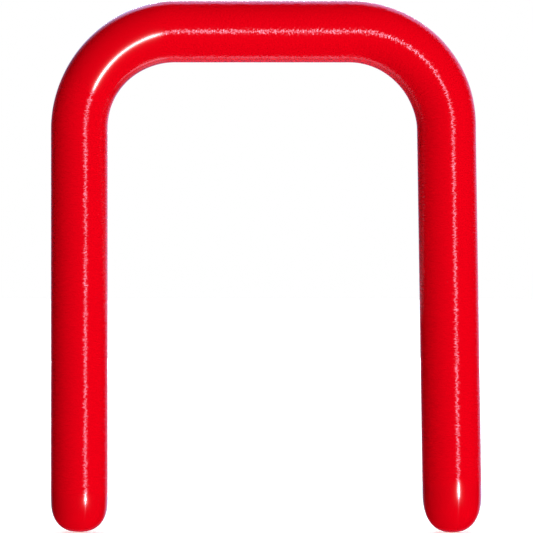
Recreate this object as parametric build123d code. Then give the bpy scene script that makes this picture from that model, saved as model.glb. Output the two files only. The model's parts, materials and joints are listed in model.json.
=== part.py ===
from build123d import *
from math import cos, radians, sin, tan
import os

# The U-shaped bow handle of a post driver: a round steel tube bent twice, a domed plug welded into each
# end, and a thick red PVC dip coat over all of it. Nothing on it moves.
# Millimetres. X runs across the legs, Y through the handle's thickness, Z up. The handle stands on the tips
# of its two legs with the bar on top, and the origin is at the bottom centre of the box that it fills.

# Driving dimensions
OVERALL_WIDTH = 206.0
OVERALL_HEIGHT = 254.3
TUBE_RADIUS = 12.7
TUBE_WALL = 2.0
BEND_RADIUS = 46.5
LEFT_TIP_Z = 0.2
RIGHT_SPLAY = 0.87

# Thickness of the coat. It ran down towards the bar while it set, so it is thin on the legs and thick on the
# bar and in the right bend. A bend's thicknesses are at equal turns, from its leg to the bar.
LEFT_LEG_COAT = 0.89
RIGHT_LEG_COAT = 1.43
BAR_COAT = 2.05
TIP_COAT = 1.3
LEFT_BEND_COAT = (LEFT_LEG_COAT, 0.82, 1.16, 1.72, BAR_COAT)
RIGHT_BEND_COAT = (RIGHT_LEG_COAT, 2.07, 2.26, 2.13, BAR_COAT)

# Domed ends: how far they stand out, and how full their shoulders are, from 0.55 for an ellipse towards 1
PLUG_DOME = 14.0
LEFT_COAT_DOME = 15.5
RIGHT_COAT_DOME = 19.3
DOME_FULLNESS = 0.67

# Plugs and welds
PLUG_SHOULDER = 4.0
SPIGOT_LENGTH = 14.0
SPIGOT_CHAMFER = 1.0
WELD_DEPTH = 1.5

# Where the path of the tube's centre runs. The right leg is widest where its dome starts.
BORE_RADIUS = TUBE_RADIUS - TUBE_WALL
LEFT_LEG_X = LEFT_LEG_COAT + TUBE_RADIUS - OVERALL_WIDTH / 2
RIGHT_SIDE_X = OVERALL_WIDTH / 2 - (TUBE_RADIUS + RIGHT_LEG_COAT) * cos(radians(RIGHT_SPLAY))
BAR_Z = OVERALL_HEIGHT - TUBE_RADIUS - BAR_COAT
BEND_Z = BAR_Z - BEND_RADIUS
LEFT_BEND_X = LEFT_LEG_X + BEND_RADIUS
RIGHT_CORNER_X = RIGHT_SIDE_X - (BAR_Z - RIGHT_COAT_DOME) * tan(radians(RIGHT_SPLAY))
RIGHT_BEND_X = RIGHT_CORNER_X - BEND_RADIUS * tan(radians((90 - RIGHT_SPLAY) / 2))

# A side is (its bend's centre along X, its sign along X, its leg's splay in degrees)
LEFT = (LEFT_BEND_X, -1, 0.0)
RIGHT = (RIGHT_BEND_X, 1, RIGHT_SPLAY)


def station(side, turn):
    """Plane across the bend, turn degrees from its leg, facing down towards the leg."""
    bend_x, sign, splay = side
    angle = radians(splay + turn)
    centre = (bend_x + sign * BEND_RADIUS * cos(angle), 0, BEND_Z + BEND_RADIUS * sin(angle))
    return Plane(origin=centre, x_dir=(0, 1, 0), z_dir=(sign * sin(angle), 0, -cos(angle)))


def leg_length(side, tip_z):
    """Length of a leg, from its bend to a tip at this height."""
    top = station(side, 0).origin
    return (top.Z - tip_z) / cos(radians(side[2]))


def domed_rod(radius, length, dome):
    """Rod along Z from 0, closed at its far end by a full, smooth dome that is part of its length."""
    side_end = length - dome
    shoulder = (radius, side_end + DOME_FULLNESS * dome)
    crown = (DOME_FULLNESS * radius, length)
    outline = Polyline((0, length), (0, 0), (radius, 0), (radius, side_end))
    outline += Bezier((radius, side_end), shoulder, crown, (0, length))
    return revolve(Plane.XZ * make_face(outline), axis=Axis.Z)


def round_bend(side, radius):
    """Constant round bend from a leg to the bar."""
    bend_x, sign, splay = side
    section = station(side, 0) * Circle(radius)
    turn_axis = Axis((bend_x, 0, BEND_Z), (0, -sign, 0))
    return revolve(section, axis=turn_axis, revolution_arc=90 - splay)


def coated_bend(side, coats):
    """Bend from a leg to the bar whose coat changes in thickness on the way."""
    step = (90 - side[2]) / (len(coats) - 1)
    sections = [station(side, i * step) * Circle(TUBE_RADIUS + coat) for i, coat in enumerate(coats)]
    return loft(sections)


def bar(radius):
    """Straight round bar between the two bends."""
    plane = Plane(origin=(LEFT_BEND_X, 0, BAR_Z), x_dir=(0, 1, 0), z_dir=(1, 0, 0))
    return extrude(plane * Circle(radius), RIGHT_BEND_X - LEFT_BEND_X)


def leg(side, shape):
    """Shape made along Z from 0, placed on a leg's axis from the leg's bend down."""
    return station(side, 0).location * shape


def core(plug_ends):
    """Everything inside the coat, as one solid with domed ends."""
    solid = bar(TUBE_RADIUS)
    for side, end in plug_ends:
        solid += round_bend(side, TUBE_RADIUS)
        solid += leg(side, domed_rod(TUBE_RADIUS, end, PLUG_DOME))
    return solid


def weld_ring():
    """Weld bead that fills the V between the tube's end and the plug's shoulder, around Z at 0."""
    root = (TUBE_RADIUS - WELD_DEPTH, 0)
    groove = Polyline((TUBE_RADIUS, -WELD_DEPTH), (TUBE_RADIUS, WELD_DEPTH), root, close=True)
    return revolve(Plane.XZ * make_face(groove), axis=Axis.Z)


def end_plug():
    """Plug with a domed head, a shoulder as wide as the tube and a spigot that fills the bore."""
    head = domed_rod(TUBE_RADIUS, PLUG_SHOULDER + PLUG_DOME, PLUG_DOME)
    spigot = extrude(Circle(BORE_RADIUS), -SPIGOT_LENGTH)
    spigot = chamfer(spigot.edges().sort_by(Axis.Z)[0], SPIGOT_CHAMFER)
    return head + spigot - weld_ring()


def straight_tube(length):
    """Length of plain tube along Z from 0."""
    return extrude(Circle(TUBE_RADIUS) - Circle(BORE_RADIUS), length)


def build():
    """Every piece of the handle, by name."""
    ends = {LEFT: leg_length(LEFT, LEFT_TIP_Z), RIGHT: leg_length(RIGHT, 0)}
    cut = {side: end - TIP_COAT - PLUG_DOME - PLUG_SHOULDER for side, end in ends.items()}

    tube = bar(TUBE_RADIUS) - bar(BORE_RADIUS)
    for side in ends:
        tube += round_bend(side, TUBE_RADIUS) - round_bend(side, BORE_RADIUS)
        tube += leg(side, straight_tube(cut[side]) - Pos(0, 0, cut[side]) * weld_ring())

    coat = bar(TUBE_RADIUS + BAR_COAT)
    coat += coated_bend(LEFT, LEFT_BEND_COAT)
    coat += coated_bend(RIGHT, RIGHT_BEND_COAT)
    coat += leg(LEFT, domed_rod(TUBE_RADIUS + LEFT_LEG_COAT, ends[LEFT], LEFT_COAT_DOME))
    coat += leg(RIGHT, domed_rod(TUBE_RADIUS + RIGHT_LEG_COAT, ends[RIGHT], RIGHT_COAT_DOME))
    coat -= core([(side, end - TIP_COAT) for side, end in ends.items()])

    return {
        "bent_tube": tube,
        "left_end_plug": leg(LEFT, Pos(0, 0, cut[LEFT]) * end_plug()),
        "right_end_plug": leg(RIGHT, Pos(0, 0, cut[RIGHT]) * end_plug()),
        "left_weld_ring": leg(LEFT, Pos(0, 0, cut[LEFT]) * weld_ring()),
        "right_weld_ring": leg(RIGHT, Pos(0, 0, cut[RIGHT]) * weld_ring()),
        "dip_coating": coat,
    }


os.makedirs("parts", exist_ok=True)
for node, shape in build().items():
    export_step(shape, f"parts/{node}.step")
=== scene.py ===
"""The look of a post driver's U-shaped bow handle: a bent tube under a glossy red dip coat.

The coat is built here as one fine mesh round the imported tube's centre line, and the steel inside keeps its
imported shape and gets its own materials. Metres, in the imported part's frame.
"""
import json
import math

import bmesh
import bpy
import numpy as np
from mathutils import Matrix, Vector, noise

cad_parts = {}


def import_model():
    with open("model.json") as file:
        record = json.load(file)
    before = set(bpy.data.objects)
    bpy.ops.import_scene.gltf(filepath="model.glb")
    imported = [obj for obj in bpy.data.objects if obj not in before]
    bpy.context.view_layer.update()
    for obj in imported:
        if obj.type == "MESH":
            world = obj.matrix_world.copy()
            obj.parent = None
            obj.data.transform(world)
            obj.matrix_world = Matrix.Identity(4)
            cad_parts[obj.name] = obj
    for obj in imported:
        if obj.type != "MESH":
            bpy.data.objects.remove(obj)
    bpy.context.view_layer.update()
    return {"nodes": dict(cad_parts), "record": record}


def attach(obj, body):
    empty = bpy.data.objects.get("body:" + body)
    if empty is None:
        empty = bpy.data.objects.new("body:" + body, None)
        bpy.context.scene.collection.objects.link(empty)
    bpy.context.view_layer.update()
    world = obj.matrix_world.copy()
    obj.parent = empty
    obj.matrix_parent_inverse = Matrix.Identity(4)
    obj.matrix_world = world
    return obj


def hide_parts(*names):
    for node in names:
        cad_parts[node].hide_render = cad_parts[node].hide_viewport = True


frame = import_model()

MM = 0.001

# Coat: radii in the bends over their legs' radii, at equal turns from the leg to the bar
LEFT_BEND_SWELL = (0.0, -0.07 * MM, 0.27 * MM, 0.83 * MM, 1.16 * MM)
RIGHT_BEND_SWELL = (0.0, 0.64 * MM, 0.83 * MM, 0.70 * MM, 0.62 * MM)
SWELL_BLEND = 16 * MM          # length over which a change in thickness is smoothed
DOME_POWER = 2.4               # superellipse power of the domed tips
RING_STEP = 0.85 * MM
AROUND = 108
DOME_RINGS = 26
ACROSS = Vector((0, 1, 0))     # across the plane of the path

# Relief of the coat
INSET = 0.01 * MM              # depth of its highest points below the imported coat
WAVE = 11 * MM                 # length and height of its slow waves
WAVE_HEIGHT = 0.012 * MM
PEEL = 2.6 * MM                # length and height of its orange peel
PEEL_HEIGHT = 0.0035 * MM
SEED = 11

# Where the coat lies still: shares of the left bend, and distances beyond the start of a dome
STILL_FROM, STILL_TO = (0.25, 0.33), (0.83, 0.94)
LEFT_TIP_STILL, RIGHT_TIP_STILL = (-5 * MM, 1 * MM), (-7 * MM, -1 * MM)
TIP_DRY = (5 * MM, 10 * MM)    # and where the clear skin ends on the domes

# Finish of the coat: a value for the legs, then one for the bar's heavier coat. The bar's red is painted
# lighter than the legs' red: painted light, standing in for the brighter light that falls on the bar
RED_PAINTED_LIGHTER_ON_BAR = ((0.83, 0.0002, 0.0075, 1.0), (0.915, 0.0002, 0.0080, 1.0))
SHINE = ((0.43, 0.43, 0.58, 1.0), (1.0, 1.0, 1.35, 1.0))
GRAIN_AROUND = (0.15, 0.36)    # fineness of the grain round the tube, as a share of that along it
GRAIN_SHARE = (1.0, 0.6)       # how much of the grain's relief shows
GRAIN_FINENESS = 1300.0        # grains per metre along the tube
GRAIN_RELIEF = 0.35 * MM
NIB_CELLS = 150.0              # cells per metre, some of which hold a dust nib
NIB_CUT = 0.78                 # cells whose random value is over this hold one
NIB_SIZE = (0.01, 0.055)       # inner and outer radius of a nib, in cells
NIB_HEIGHT = 0.45              # height of a nib over the grain's relief
GRAINY, STILL = 0.27, 0.13     # roughness where the coat is grainy and where it lies still

# Bare steel: its darkest and lightest tone over its colour, and its roughness
STEEL_TONES = (0.7, 1.25)
STEEL_ROUGHNESS = (0.28, 0.5)

# View
VIEW_WIDTH = 255.0 * MM
VIEW_CENTRE = Vector((0.165 * MM, 0.0, 127.2 * MM))
LENS, SENSOR = 600.0, 36.0     # millimetres

# Light, in metres and watts, or watts per square metre for suns
LAMP_DISTANCE = 8.0
KEY_TURN = math.radians(25.8)  # how far the key stands to the right of the camera
KEY_POWER, KEY_SIZE = 280.0, 0.7
REAR_WAY = Vector((0.0, 1.0, 0.1))
REAR_POWER, REAR_SIZE = 45.0, 1.0
GLOW = ((0.042, 0.07, 0.0136), (0.07, 0.20, 0.0125))  # strips behind the legs: near, far, power
GLOW_HEIGHT, GLOW_WIDTH = 0.1, 0.14
GLOW_TINT = (1.0, 0.93, 1.1)
OVERHEAD_POWER, OVERHEAD_WIDTH = 0.9, 70   # lights the floor alone
FLOOR_SIZE = 30.0
FLOOR_GLOW = 0.5
BACKDROP_TINT = (1.1, 1.0, 1.75)
SOFT_LIGHT = (                 # name, direction it comes from, strength, width in degrees
    ("soft_front", (0.70, -0.65, -0.29), 0.515 * math.pi, 179),
    ("soft_left", (-1.0, 0.0, 0.0), 0.19 * math.pi, 179),
    ("soft_right", (1.0, 0.0, 0.0), 0.16 * math.pi, 179),
    ("soft_below", (-0.15, 0.68, -0.72), 0.62 * math.pi, 40),
    ("soft_rear", (0.0, 0.95, 0.31), 0.50 * math.pi, 60),
)


# --- the centre line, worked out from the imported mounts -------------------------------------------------

def leg_line(name):
    """Top and bottom of a leg's straight stretch, its direction and its radius."""
    mount = next(m for m in frame["record"]["mounts"] if m["name"] == name)
    middle, along = Vector(mount["pos_m"]), Vector(mount["axis"]).normalized()
    half = mount["dims"]["length_mm"] * MM / 2
    return middle - along * half, middle + along * half, along, mount["dims"]["r_mm"] * MM


def bar_height():
    """Height of the bar's centre line."""
    return next(m for m in frame["record"]["mounts"] if m["name"] == "grip")["pos_m"][2]


def tip_depth(end, down):
    """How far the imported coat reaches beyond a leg's straight stretch."""
    skin = frame["nodes"]["dip_coating"].data.vertices
    return max((v.co - end).dot(down) for v in skin if v.co.x * end.x > 0)


class Path:
    """The coat's centre line, from the left dome's start round to the right dome's start."""

    def __init__(self):
        self.left_top, self.left_end, self.left_down, self.left_r = leg_line("left_leg")
        self.right_top, self.right_end, self.right_down, self.right_r = leg_line("right_leg")
        self.left_depth = tip_depth(self.left_end, self.left_down)
        self.right_depth = tip_depth(self.right_end, self.right_down)
        self.bend = bar_height() - self.left_top.z
        self.splay = math.atan2(self.right_down.x, -self.right_down.z)
        self.left_centre = self.left_top + Vector((self.bend, 0, 0))
        out = Vector((math.cos(self.splay), 0, math.sin(self.splay)))
        self.right_centre = self.right_top - out * self.bend
        self.lengths = (
            (self.left_top - self.left_end).length,
            self.bend * math.pi / 2,
            self.right_centre.x - self.left_centre.x,
            self.bend * (math.pi / 2 - self.splay),
            (self.right_top - self.right_end).length,
        )
        self.ends = np.cumsum(self.lengths)
        self.total = float(self.ends[-1])

    def at(self, s):
        """Point at length s, and the outward direction across the line there."""
        ends, bend = self.ends, self.bend
        if s <= ends[0]:
            return self.left_end - self.left_down * s, Vector((-1, 0, 0))
        if s <= ends[1]:
            turn = math.pi - (s - ends[0]) / bend
            out = Vector((math.cos(turn), 0, math.sin(turn)))
            return self.left_centre + out * bend, out
        if s <= ends[2]:
            return self.left_centre + Vector((s - ends[1], 0, bend)), Vector((0, 0, 1))
        if s <= ends[3]:
            turn = math.pi / 2 - (s - ends[2]) / bend
            out = Vector((math.cos(turn), 0, math.sin(turn)))
            return self.right_centre + out * bend, out
        out = Vector((math.cos(self.splay), 0, math.sin(self.splay)))
        return self.right_top + self.right_down * (s - ends[3]), out


def coat_radius(path, step=0.5 * MM):
    """Function that gives the coat's radius at a length along the path, with its changes smoothed."""
    knots, radii = [-path.total, path.ends[0]], [path.left_r, path.left_r]
    for share, swell in zip((0.25, 0.5, 0.75, 1.0), LEFT_BEND_SWELL[1:]):
        knots.append(path.ends[0] + share * path.lengths[1])
        radii.append(path.left_r + swell)
    for share, swell in zip((0.0, 0.25, 0.5, 0.75, 1.0), reversed(RIGHT_BEND_SWELL)):
        knots.append(path.ends[2] + share * path.lengths[3])
        radii.append(path.right_r + swell)
    knots.append(2 * path.total)
    radii.append(path.right_r)
    places = np.arange(-SWELL_BLEND, path.total + SWELL_BLEND, step)
    window = np.hanning(int(SWELL_BLEND / step))
    padded = np.pad(np.interp(places, knots, radii), len(window), mode="edge")
    smooth = np.convolve(padded, window / window.sum(), mode="same")[len(window):-len(window)]
    return lambda s: float(np.interp(s, places, smooth))


# --- the coat's mesh ------------------------------------------------------------------------------------

def dome_rings(radius, depth):
    """(distance beyond the leg's end, ring radius) of a dome's rings, from its pole towards the leg."""
    power = 2 / DOME_POWER
    rings = []
    for i in range(1, DOME_RINGS):
        turn = math.pi / 2 * (1 - i / DOME_RINGS)
        rings.append((depth * math.sin(turn) ** power, radius * math.cos(turn) ** power))
    return rings


def coat_rings(path):
    """Every ring of the coat: (centre, outward direction, radius, length along the path)."""
    radius = coat_radius(path)
    rings = []
    for beyond, r in dome_rings(path.left_r, path.left_depth):
        rings.append((path.left_end + path.left_down * beyond, Vector((-1, 0, 0)), r, -beyond))
    count = round(path.total / RING_STEP)
    for i in range(count + 1):
        s = path.total * i / count
        point, out = path.at(s)
        rings.append((point, out, radius(s), s))
    out = path.at(path.total)[1]
    for beyond, r in reversed(dome_rings(path.right_r, path.right_depth)):
        rings.append((path.right_end + path.right_down * beyond, out, r, path.total + beyond))
    return rings


def rise(value, low, high):
    """Smooth step from 0 at low to 1 at high."""
    t = min(max((value - low) / (high - low), 0.0), 1.0)
    return t * t * (3 - 2 * t)


def calm(path, s):
    """How still the coat lies, from 0 where it is grainy to 1 in the left bend and on the tips."""
    share = (s - path.ends[0]) / path.lengths[1]
    bend = rise(share, *STILL_FROM) * (1 - rise(share, *STILL_TO))
    return max(rise(-s, *LEFT_TIP_STILL), rise(s - path.total, *RIGHT_TIP_STILL), bend)


def wet(path, s):
    """How much clear skin lies over the coat: where it is still, but not on the low part of the domes."""
    beyond = max(-s, s - path.total)
    return calm(path, s) * (1 - rise(beyond, *TIP_DRY))


def bar_share(path, s):
    """0 on the legs and 1 on the bar, with a smooth change over the bends; it also blends the red into the
    bar's lighter copy, which is painted light.
    """
    return rise(s, path.ends[0], path.ends[1]) * (1 - rise(s, path.ends[2], path.ends[3]))


def lean(path, s):
    """Height whose slope turns the still skin of the left bend towards the key, as its slow sag does."""
    half = math.sin(KEY_TURN / 2)
    turn = min(max((s - path.ends[0]) / path.bend, 0.0), math.pi / 2)
    return -half * path.bend * (1 - math.cos(turn))


MARKS = {"calm": calm, "wet": wet, "lean": lean, "bar_share": bar_share}


def relief(path, s, where):
    """Height of the coat's surface over its smooth rings, always below zero."""
    height = WAVE_HEIGHT * (noise.noise(where / WAVE) - 1) - INSET
    return height + PEEL_HEIGHT * (1 - calm(path, s)) * (noise.noise(where / PEEL) - 1)


def add_points(path, shape):
    """The coat's points with their marks, ring by ring from pole to pole, and each ring's length along."""
    place = shape.verts.layers.float_vector.new("place")
    layers = {name: shape.verts.layers.float.new(name) for name in MARKS}

    def vertex(point, where):
        made = shape.verts.new(point)
        made[place] = where
        for name, layer in layers.items():
            made[layer] = MARKS[name](path, where[0])
        return made

    first, last = -path.left_depth, path.total + path.right_depth
    rows = [[vertex(path.left_end + path.left_down * path.left_depth, (first, 0, 0))]]
    runs = [first]
    for centre, out, r, s in coat_rings(path):
        row = []
        for k in range(AROUND):
            turn = 2 * math.pi * k / AROUND
            side = out * math.cos(turn) + ACROSS * math.sin(turn)
            where = Vector((s, r * math.cos(turn), r * math.sin(turn)))
            row.append(vertex(centre + side * (r + relief(path, s, where)), where))
        rows.append(row)
        runs.append(s)
    rows.append([vertex(path.right_end + path.right_down * path.right_depth, (last, 0, 0))])
    runs.append(last)
    return rows, runs


def add_faces(shape, rows, runs):
    """Faces between the rings, with the length along and the share of a turn as their UVs."""
    uv = shape.loops.layers.uv.new("run")

    def face(corners, spots):
        made = shape.faces.new(corners)
        made.smooth = True
        for loop, spot in zip(made.loops, spots):
            loop[uv].uv = spot

    for k in range(AROUND):
        n = (k + 1) % AROUND
        v0, v1 = k / AROUND, (k + 1) / AROUND
        mid = (v0 + v1) / 2
        face((rows[0][0], rows[1][n], rows[1][k]), ((runs[0], mid), (runs[1], v1), (runs[1], v0)))
        for low, high, u0, u1 in zip(rows[1:-1], rows[2:-1], runs[1:-1], runs[2:-1]):
            face((low[k], low[n], high[n], high[k]), ((u0, v0), (u0, v1), (u1, v1), (u1, v0)))
        face((rows[-1][0], rows[-2][k], rows[-2][n]), ((runs[-1], mid), (runs[-2], v0), (runs[-2], v1)))


def build_coat(path):
    """The coat as one closed mesh, with its waves and orange peel in the surface."""
    noise.seed_set(SEED)
    shape = bmesh.new()
    rows, runs = add_points(path, shape)
    add_faces(shape, rows, runs)
    bmesh.ops.recalc_face_normals(shape, faces=shape.faces)
    mesh = bpy.data.meshes.new("dip_coat")
    shape.to_mesh(mesh)
    shape.free()
    coat = bpy.data.objects.new("dip_coat", mesh)
    bpy.context.scene.collection.objects.link(coat)
    return coat


# --- materials ------------------------------------------------------------------------------------------

class Nodes:
    """Short calls for building a node tree."""

    def __init__(self, tree):
        self.tree = tree
        tree.nodes.clear()

    def add(self, kind, settings=(), **inputs):
        """A node with its settings, and inputs named with _ for spaces or numbered as i0, i1 and so on."""
        node = self.tree.nodes.new(kind)
        for name, value in dict(settings).items():
            setattr(node, name, value)
        for name, value in inputs.items():
            numbered = name[0] == "i" and name[1:].isdigit()
            socket = node.inputs[int(name[1:]) if numbered else name.replace("_", " ")]
            if isinstance(value, bpy.types.NodeSocket):
                self.tree.links.new(value, socket)
            else:
                socket.default_value = value
        return node

    def mark(self, name):
        """One of the coat's marks, as a number."""
        return self.add("ShaderNodeAttribute", {"attribute_name": name}).outputs["Fac"]

    def math(self, operation, a, b):
        return self.add("ShaderNodeMath", {"operation": operation}, i0=a, i1=b).outputs[0]

    def stretch(self, vector, by):
        """A vector times another, part by part."""
        return self.add("ShaderNodeVectorMath", {"operation": "MULTIPLY"}, i0=vector, i1=by).outputs[0]

    def mix(self, share, a, b):
        return self.add("ShaderNodeMix", {"data_type": "FLOAT"}, i0=share, i2=a, i3=b).outputs[0]

    def mix_colour(self, share, a, b):
        return self.add("ShaderNodeMix", {"data_type": "RGBA"}, i0=share, i6=a, i7=b).outputs[2]

    def ramp(self, value, low, high, start=0.0, end=1.0):
        """Smooth step of a value from low to high, between start and end."""
        smooth = {"interpolation_type": "SMOOTHSTEP"}
        return self.add("ShaderNodeMapRange", smooth, i0=value, i1=low, i2=high, i3=start, i4=end).outputs[0]


def material(name):
    made = bpy.data.materials.new(name)
    made.use_nodes = True
    return made, Nodes(made.node_tree)


def coat_relief(n, level, bar):
    """Rings of grain, drawn out round the tube and gone where the coat lies still, and a few dust nibs."""
    place = n.add("ShaderNodeAttribute", {"attribute_name": "place"}).outputs["Vector"]
    around = n.mix(bar, *GRAIN_AROUND)
    rings = n.stretch(place, n.add("ShaderNodeCombineXYZ", X=1.0, Y=around, Z=around).outputs[0])
    field = n.add("ShaderNodeTexNoise", Vector=rings, Scale=GRAIN_FINENESS, Detail=1.0, Roughness=0.45)
    grain = n.math("SUBTRACT", field.outputs[0], 0.5)
    grain = n.math("MULTIPLY", grain, n.math("SUBTRACT", 1.0, level))
    grain = n.math("MULTIPLY", grain, n.mix(bar, *GRAIN_SHARE))
    cells = n.add("ShaderNodeTexVoronoi", {"feature": "F1"}, Vector=place, Scale=NIB_CELLS)
    chance = n.add("ShaderNodeSeparateColor", i0=cells.outputs["Color"]).outputs[0]
    bump = n.ramp(cells.outputs["Distance"], *NIB_SIZE, 1.0, 0.0)
    nib = n.math("MULTIPLY", bump, n.math("GREATER_THAN", chance, NIB_CUT))
    return n.math("ADD", grain, n.math("MULTIPLY", nib, NIB_HEIGHT))


def red_coat():
    """Dipped PVC: saturated red under a fine ring grain, with a clear wet skin where it lies still."""
    made, n = material("red_dip_coat")
    level, bar = n.mark("calm"), n.mark("bar_share")
    relief = coat_relief(n, level, bar)
    grainy = n.add("ShaderNodeBump", Strength=1.0, Distance=GRAIN_RELIEF, Height=relief).outputs[0]
    leaning = n.add("ShaderNodeBump", Strength=1.0, Distance=1.0, Height=n.mark("lean")).outputs[0]
    run = n.add("ShaderNodeTangent", {"direction_type": "UV_MAP", "uv_map": "run"}).outputs[0]
    # the base colour is painted lighter on the bar than on the legs: painted light for the bar's brighter
    # lighting
    shader = n.add(
        "ShaderNodeBsdfPrincipled",
        Base_Color=n.mix_colour(bar, *RED_PAINTED_LIGHTER_ON_BAR), Roughness=n.mix(level, GRAINY, STILL), IOR=1.5,
        Specular_IOR_Level=0.7, Specular_Tint=n.mix_colour(bar, *SHINE),
        Anisotropic=1.0, Normal=grainy, Tangent=run,
        Coat_Weight=n.mark("wet"), Coat_Roughness=0.2, Coat_IOR=1.5, Coat_Normal=leaning,
    )
    n.add("ShaderNodeOutputMaterial", Surface=shader.outputs[0])
    return made


def steel(name, colour, marks, stretch):
    """Bare steel with its colour and roughness broken up by marks of a size and stretch."""
    made, n = material(name)
    where = n.add("ShaderNodeTexCoord").outputs["Object"]
    drawn = n.add("ShaderNodeTexNoise", Vector=n.stretch(where, stretch), Scale=marks, Detail=3.0).outputs[0]
    mottle = n.add("ShaderNodeTexNoise", Vector=where, Scale=marks / 8, Detail=2.0).outputs[0]
    dark, light = (tuple(min(c * tone, 1.0) for c in colour) + (1.0,) for tone in STEEL_TONES)
    bump = n.add("ShaderNodeBump", Strength=0.25, Distance=0.02 * MM, Height=drawn).outputs[0]
    shader = n.add(
        "ShaderNodeBsdfPrincipled",
        Base_Color=n.mix_colour(mottle, dark, light), Metallic=1.0,
        Roughness=n.mix(drawn, *STEEL_ROUGHNESS), Normal=bump,
    )
    n.add("ShaderNodeOutputMaterial", Surface=shader.outputs[0])
    return made


def paint_steel():
    """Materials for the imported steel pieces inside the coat."""
    tube = steel("blasted_tube", (0.42, 0.41, 0.40), 900.0, (1.0, 1.0, 1.0))
    plug = steel("turned_plug", (0.50, 0.50, 0.50), 1400.0, (0.1, 0.1, 1.0))
    weld = steel("ground_weld", (0.34, 0.33, 0.33), 1100.0, (1.0, 0.2, 1.0))
    finishes = {
        "bent_tube": tube,
        "left_end_plug": plug,
        "right_end_plug": plug,
        "left_weld_ring": weld,
        "right_weld_ring": weld,
    }
    for node, finish in finishes.items():
        frame["nodes"][node].data.materials.clear()
        frame["nodes"][node].data.materials.append(finish)


# --- stage ----------------------------------------------------------------------------------------------

def floor():
    """Large pale floor under the tips."""
    shape = bmesh.new()
    bmesh.ops.create_grid(shape, x_segments=8, y_segments=8, size=FLOOR_SIZE)
    mesh = bpy.data.meshes.new("floor")
    shape.to_mesh(mesh)
    shape.free()
    made = bpy.data.objects.new("floor", mesh)
    bpy.context.scene.collection.objects.link(made)
    white, n = material("pale_floor")
    shader = n.add(
        "ShaderNodeBsdfPrincipled", Base_Color=(0.9, 0.9, 0.9, 1.0), Roughness=0.9, Specular_IOR_Level=0.0,
        Emission_Color=(1.0, 1.0, 1.0, 1.0), Emission_Strength=FLOOR_GLOW,
    )
    n.add("ShaderNodeOutputMaterial", Surface=shader.outputs[0])
    mesh.materials.append(white)
    made.visible_glossy = False
    made.visible_diffuse = False
    return made


def lamp(kind, name, place, target, strength, **settings):
    """A lamp at a place that points at a target."""
    light = bpy.data.lights.new(name, kind)
    light.energy = strength
    for setting, value in settings.items():
        setattr(light, setting, value)
    made = bpy.data.objects.new(name, light)
    made.location = place
    made.rotation_mode = "QUATERNION"
    made.rotation_quaternion = (Vector(target) - Vector(place)).to_track_quat("-Z", "Y")
    made.visible_camera = False
    bpy.context.scene.collection.objects.link(made)
    return made


def only_for(light, piece):
    """Lets a lamp light one piece alone."""
    group = bpy.data.collections.new(light.name + "_only")
    group.objects.link(piece)
    light.light_linking.receiver_collection = group


def lights(floor_piece):
    """A key at the right, a lamp behind, strips that glow under the bar, and soft light for the colour."""
    key_way = Vector((math.sin(KEY_TURN), -math.cos(KEY_TURN), 0))
    for name, way, power, size in (
        ("key", key_way, KEY_POWER, KEY_SIZE),
        ("rear", REAR_WAY, REAR_POWER, REAR_SIZE),
    ):
        lamp("AREA", name, VIEW_CENTRE + way * LAMP_DISTANCE, VIEW_CENTRE, power, shape="DISK", size=size)
    for near, far, power in GLOW:
        middle = Vector((0, (near + far) / 2, GLOW_HEIGHT))
        glow = lamp(
            "AREA", "glow", middle, middle + Vector((0, 0, 1)), power,
            shape="RECTANGLE", size=GLOW_WIDTH, size_y=far - near, color=GLOW_TINT,
        )
        glow.visible_diffuse = False
    for name, way, strength, width in SOFT_LIGHT:
        soft = lamp("SUN", name, VIEW_CENTRE + Vector(way), VIEW_CENTRE, strength, angle=math.radians(width))
        soft.visible_glossy = False
        soft.data.cycles.use_multiple_importance_sampling = False
    above = lamp("SUN", "overhead", (0, 0, 5), (0, 0, 0), OVERHEAD_POWER, angle=math.radians(OVERHEAD_WIDTH))
    only_for(above, floor_piece)
    floor_piece.visible_shadow = False


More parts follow.
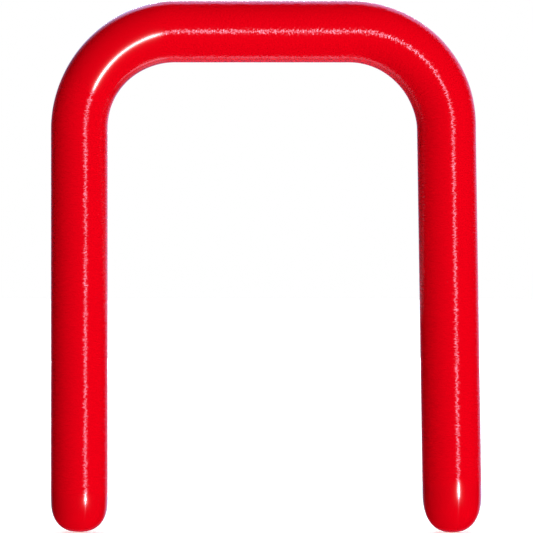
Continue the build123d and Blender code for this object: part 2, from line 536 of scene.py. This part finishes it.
def world():
    """White to the camera, and in the gloss bright behind the object and dark in front of it."""
    made = bpy.data.worlds.new("studio")
    bpy.context.scene.world = made
    made.use_nodes = True
    made.cycles.sampling_method = "NONE"
    made.cycles_visibility.diffuse = False
    n = Nodes(made.node_tree)
    way = n.add("ShaderNodeTexCoord").outputs["Generated"]
    right, back, up = n.add("ShaderNodeSeparateXYZ", Vector=way).outputs[:3]
    # the backdrop starts sharply high up and slowly low down, and fades downwards and to the left
    behind = n.mix(n.ramp(up, 0.2, 0.7), n.ramp(back, 0.60, 0.90), n.ramp(back, 0.58, 0.64))
    height = n.math("MULTIPLY", n.ramp(up, -0.1, 0.5, 0.5, 0.9), n.ramp(up, -0.3, -0.05, 0.2, 1.0))
    backdrop = n.math("MULTIPLY", height, n.ramp(right, -0.50, 0.0, 0.1, 1.0))
    gloss = n.stretch(n.math("MULTIPLY", behind, backdrop), BACKDROP_TINT)
    to_camera = n.add("ShaderNodeLightPath").outputs["Is Camera Ray"]
    seen = n.mix_colour(to_camera, gloss, (1.0, 1.0, 1.0, 1.0))
    sky = n.add("ShaderNodeBackground", Color=seen, Strength=1.0)
    n.add("ShaderNodeOutputWorld", Surface=sky.outputs[0])


def camera():
    """Square on to the front, from far off."""
    lens = bpy.data.cameras.new("camera")
    lens.lens, lens.sensor_width = LENS, SENSOR
    made = bpy.data.objects.new("camera", lens)
    away = VIEW_WIDTH * LENS / SENSOR
    made.location = VIEW_CENTRE - Vector((0, away, 0))
    made.rotation_euler = (math.pi / 2, 0, 0)
    lens.clip_start, lens.clip_end = 0.1, 100.0
    bpy.context.scene.collection.objects.link(made)
    bpy.context.scene.camera = made


def colour_management():
    """Plain display of colours, with no added contrast."""
    view = bpy.context.scene.view_settings
    view.view_transform = "Standard"
    view.look = "None"


# --- the scene ------------------------------------------------------------------------------------------

colour_management()
camera()
path = Path()
coat = build_coat(path)
coat.data.materials.append(red_coat())
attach(coat, "root")
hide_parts("dip_coating")
paint_steel()
lights(floor())
world()
